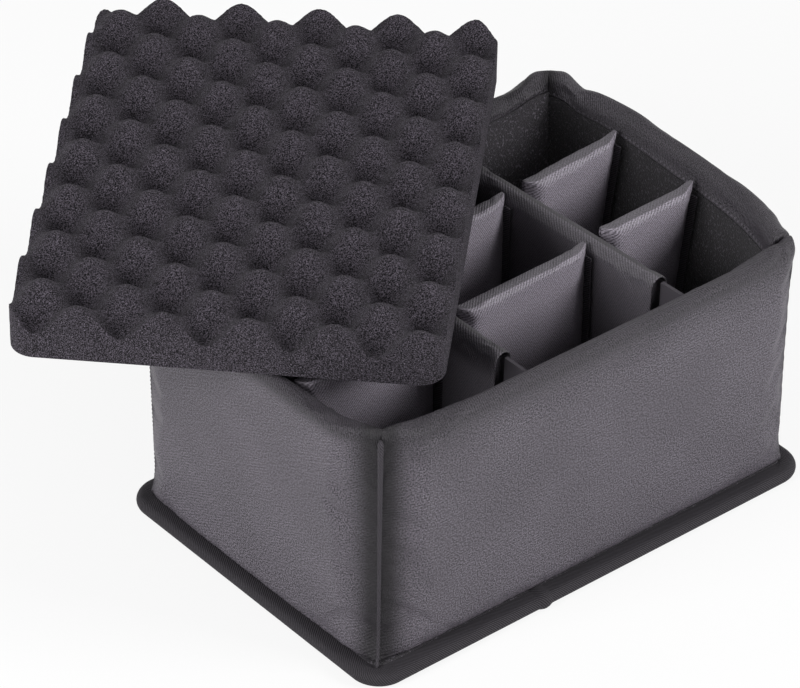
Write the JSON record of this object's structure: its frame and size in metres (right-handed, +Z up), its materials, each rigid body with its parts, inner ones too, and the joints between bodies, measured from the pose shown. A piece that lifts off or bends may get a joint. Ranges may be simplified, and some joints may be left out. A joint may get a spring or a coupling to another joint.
{
  "type": "padded divider insert",
  "caption": "Fabric-covered padded divider insert for a small outdoor case, with movable dividers and a loose convoluted foam lid pad laid across it.",
  "frame": {"origin": "centre of the base panel's underside", "axes": "+Z up, +X along the long front wall from left to right, +Y from the front wall to the back wall"},
  "size_m": [0.3163, 0.3111, 0.1467],
  "materials": {
    "nylon": "satin woven nylon",
    "loop_pile": "brushed loop pile",
    "open_cell_foam": "matte open-cell foam",
    "core_foam": "matte closed-cell foam",
    "binding_tape": "ribbed woven tape",
    "board": "matte",
    "hook_tab": "hook tape"
  },
  "bodies": {
    "box": {"base_cover": "nylon", "base_board": "board", "base_foam": "core_foam", "floor_lining": "loop_pile", "base_binding": "binding_tape", "binding_lap": "binding_tape", "front_wall_cover": "nylon", "front_wall_foam": "core_foam", "front_wall_lining": "loop_pile", "right_wall_cover": "nylon", "right_wall_foam": "core_foam", "right_wall_lining": "loop_pile", "back_wall_cover": "nylon", "back_wall_foam": "core_foam", "back_wall_lining": "loop_pile", "left_wall_cover": "nylon", "left_wall_foam": "core_foam", "left_wall_lining": "loop_pile", "front_left_seam": "nylon", "front_right_seam": "nylon", "back_right_seam": "nylon", "back_left_seam": "nylon"},
    "divider_grid": {"left_divider_sleeve": "nylon", "left_divider_foam": "core_foam", "left_divider_front_tab": "hook_tab", "left_divider_rear_tab": "hook_tab", "right_divider_sleeve": "nylon", "right_divider_foam": "core_foam", "right_divider_front_tab": "hook_tab", "right_divider_rear_tab": "hook_tab"},
    "left_front_divider": {"left_front_divider_sleeve": "nylon", "left_front_divider_foam": "core_foam", "left_front_divider_left_tab": "hook_tab", "left_front_divider_right_tab": "hook_tab"},
    "left_back_divider": {"left_back_divider_sleeve": "nylon", "left_back_divider_foam": "core_foam", "left_back_divider_left_tab": "hook_tab", "left_back_divider_right_tab": "hook_tab"},
    "middle_front_divider": {"middle_front_divider_sleeve": "nylon", "middle_front_divider_foam": "core_foam", "middle_front_divider_left_tab": "hook_tab", "middle_front_divider_right_tab": "hook_tab"},
    "middle_back_divider": {"middle_back_divider_sleeve": "nylon", "middle_back_divider_foam": "core_foam", "middle_back_divider_left_tab": "hook_tab", "middle_back_divider_right_tab": "hook_tab"},
    "right_front_divider": {"right_front_divider_sleeve": "nylon", "right_front_divider_foam": "core_foam", "right_front_divider_left_tab": "hook_tab", "right_front_divider_right_tab": "hook_tab"},
    "right_back_divider": {"right_back_divider_sleeve": "nylon", "right_back_divider_foam": "core_foam", "right_back_divider_left_tab": "hook_tab", "right_back_divider_right_tab": "hook_tab"},
    "lid_pad": {"lid_pad": "open_cell_foam"}
  },
  "joints": [
    {"name": "grid_lift", "type": "slide", "parent": "box", "child": "divider_grid", "axis": [0, 0, 1], "range_m": [0, 0.13]},
    {"name": "left_front_slide", "type": "slide", "parent": "divider_grid", "child": "left_front_divider", "axis": [0, 1, 0], "range_m": [-0.012, 0.012]},
    {"name": "left_back_slide", "type": "slide", "parent": "divider_grid", "child": "left_back_divider", "axis": [0, 1, 0], "range_m": [-0.012, 0.012]},
    {"name": "middle_front_slide", "type": "slide", "parent": "divider_grid", "child": "middle_front_divider", "axis": [0, 1, 0], "range_m": [-0.012, 0.012]},
    {"name": "middle_back_slide", "type": "slide", "parent": "divider_grid", "child": "middle_back_divider", "axis": [0, 1, 0], "range_m": [-0.012, 0.012]},
    {"name": "right_front_slide", "type": "slide", "parent": "divider_grid", "child": "right_front_divider", "axis": [0, 1, 0], "range_m": [-0.012, 0.012]},
    {"name": "right_back_slide", "type": "slide", "parent": "divider_grid", "child": "right_back_divider", "axis": [0, 1, 0], "range_m": [-0.012, 0.012]},
    {"name": "pad_lift", "type": "slide", "parent": "divider_grid", "child": "lid_pad", "axis": [0, 0, 1], "range_m": [0, 0.12]}
  ]
}
